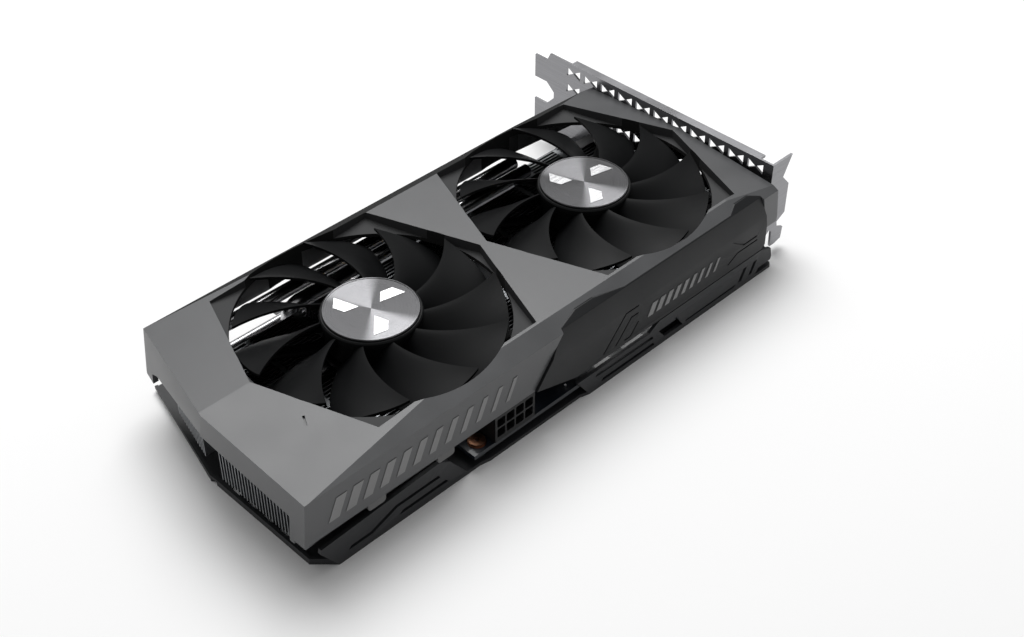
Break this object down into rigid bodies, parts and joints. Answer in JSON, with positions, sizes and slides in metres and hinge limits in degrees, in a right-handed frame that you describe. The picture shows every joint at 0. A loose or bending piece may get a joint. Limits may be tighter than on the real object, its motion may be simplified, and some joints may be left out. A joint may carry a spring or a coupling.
{
  "type": "graphics card",
  "caption": "Dual-slot graphics card with a faceted fan shroud, spinning fans, finned heat-pipe cooler, slotted bracket, edge contacts and folded backplate",
  "frame": {"origin": "middle of the underside: centred along the length and the width, on the backplate's outer face", "axes": "+X towards the slotted bracket, +Y towards the edge contacts, +Z out through the fans"},
  "size_m": [0.2346, 0.1262, 0.0412],
  "materials": {
    "shroud_plastic": "fine moulded grain, matte dark grey",
    "cover_plastic": "satin black moulding",
    "clip_plastic": "pale grey moulding",
    "mark_print": "light grey print",
    "blade_plastic": "satin black moulding",
    "disc_metal": "turned, with a bright rim",
    "emblem_metal": "polished inlay",
    "frame_plastic": "black moulding",
    "screw_steel": "dark plated",
    "shaft_steel": "ground",
    "magnet": "sintered ring",
    "bearing_bronze": "oiled bronze",
    "core_iron": "stacked sheets",
    "coil_copper": "lacquered copper wire",
    "drive_board": "green lacquer",
    "fin_aluminium": "thin rolled sheet",
    "pipe_nickel": "nickel plated copper",
    "plate_nickel": "nickel plated copper block",
    "board_lacquer": "blue-black solder lacquer",
    "contact_gold": "gold plating",
    "chip_carrier": "dark green laminate",
    "chip_silicon": "polished silicon",
    "chip_black": "moulded package",
    "choke_ferrite": "pressed ferrite",
    "can_aluminium": "drawn can",
    "ring_copper": "bare copper ring",
    "socket_plastic": "black nylon",
    "pin_plating": "tin plated",
    "bracket_steel": "nickel plated sheet",
    "port_steel": "drawn shell",
    "backplate_metal": "black powder coat",
    "lead_sleeve": "black sleeve",
    "header_plastic": "natural nylon"
  },
  "bodies": {
    "card": {"shroud": "shroud_plastic", "side_cover": "cover_plastic", "clip_tab_left": "clip_plastic", "clip_tab_right": "clip_plastic", "band_marks": "mark_print", "cover_marks": "mark_print", "fins_near_open": "fin_aluminium", "fins_far_open": "fin_aluminium", "fins_near_board": "fin_aluminium", "fins_far_board": "fin_aluminium", "fins_edge": "fin_aluminium", "heat_pipe_outer": "pipe_nickel", "heat_pipe_inner": "pipe_nickel", "heat_pipe_middle": "pipe_nickel", "cold_plate": "plate_nickel", "board": "board_lacquer", "contacts": "contact_gold", "chip_package": "chip_carrier", "chip_die": "chip_silicon", "memory_chips": "chip_black", "chokes": "choke_ferrite", "power_stages": "chip_black", "capacitors": "can_aluminium", "mount_ring": "ring_copper", "power_socket": "socket_plastic", "power_pins": "pin_plating", "bracket": "bracket_steel", "display_port_lower": "port_steel", "display_port_middle": "port_steel", "display_port_upper": "port_steel", "hdmi_port": "port_steel", "backplate": "backplate_metal", "board_screws": "screw_steel", "bracket_screws": "screw_steel", "fan_lead_left": "lead_sleeve", "fan_lead_right": "lead_sleeve", "fan_headers": "header_plastic", "fan_frame_left": "frame_plastic", "fan_frame_right": "frame_plastic", "frame_screws_left": "screw_steel", "frame_screws_right": "screw_steel", "bearing_left": "bearing_bronze", "bearing_right": "bearing_bronze", "stator_core_left": "core_iron", "stator_core_right": "core_iron", "stator_coils_left": "coil_copper", "stator_coils_right": "coil_copper", "drive_board_left": "drive_board", "drive_board_right": "drive_board"},
    "left_fan": {"rotor_left": "blade_plastic", "fan_shaft_left": "shaft_steel", "magnet_ring_left": "magnet", "hub_disc_left": "disc_metal", "hub_emblem_left": "emblem_metal"},
    "right_fan": {"rotor_right": "blade_plastic", "fan_shaft_right": "shaft_steel", "magnet_ring_right": "magnet", "hub_disc_right": "disc_metal", "hub_emblem_right": "emblem_metal"}
  },
  "joints": [
    {"name": "left_fan_spin", "type": "hinge", "parent": "card", "child": "left_fan", "pos_m": [-0.0474, -0.0123, 0.03], "axis": [0, 0, 1], "continuous": true},
    {"name": "right_fan_spin", "type": "hinge", "parent": "card", "child": "right_fan", "pos_m": [0.0537, -0.0123, 0.03], "axis": [0, 0, 1], "continuous": true}
  ]
}
